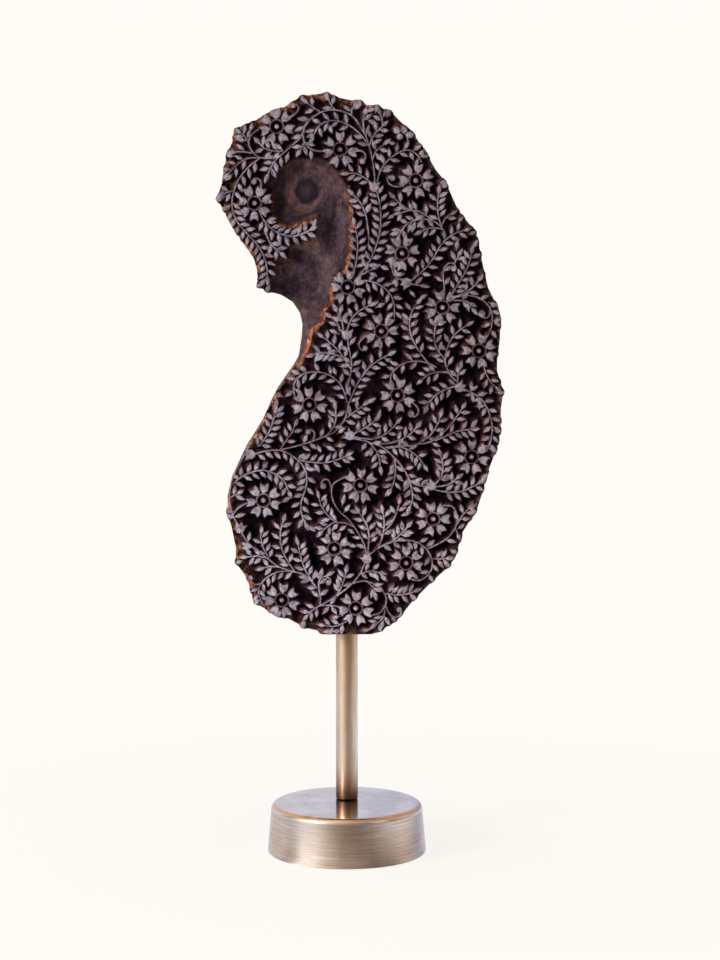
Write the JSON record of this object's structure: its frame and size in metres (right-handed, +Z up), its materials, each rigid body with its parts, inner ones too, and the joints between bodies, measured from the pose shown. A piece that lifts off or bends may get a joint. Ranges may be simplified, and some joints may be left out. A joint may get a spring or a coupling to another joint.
{
  "type": "textile printing block on a stand",
  "caption": "Paisley-shaped carved wooden textile printing block with a rear grip, standing on a swivelling brass post with a weighted round base.",
  "frame": {"origin": "on the felt pad's underside, below the post's axis", "axes": "+Z up along the post, print face towards -Y, +X to the right when facing the print face"},
  "size_m": [0.1417, 0.1013, 0.3788],
  "materials": {
    "carved_wood": "dyed and worn carved hardwood",
    "grip_wood": "hand-worn hardwood",
    "turned_brass": "turned",
    "post_brass": "satin antique brass",
    "base_brass": "brushed antique brass",
    "screw_brass": "dull",
    "plain_steel": "plain",
    "cast_iron": "as cast",
    "felt": "dense felt"
  },
  "bodies": {
    "stand": {"felt_pad": "felt", "base_plate": "plain_steel", "plate_screws": "plain_steel", "base_weight": "cast_iron", "base_cover": "base_brass", "bolt_washer": "plain_steel", "base_bolt": "plain_steel", "foot_plug": "turned_brass", "post_tube": "post_brass", "top_bush": "turned_brass"},
    "swivel": {"swivel_spigot": "turned_brass"},
    "block": {"printing_block": "carved_wood", "socket_sleeve": "turned_brass", "block_handle": "grip_wood", "handle_screws": "screw_brass"}
  },
  "joints": [
    {"name": "block_turn", "type": "hinge", "parent": "stand", "child": "swivel", "pos_m": [0, 0, 0.1106], "axis": [0, 0, 1], "continuous": true},
    {"name": "block_lift", "type": "slide", "parent": "swivel", "child": "block", "axis": [0, 0, 1], "range_m": [0, 0.06]}
  ]
}
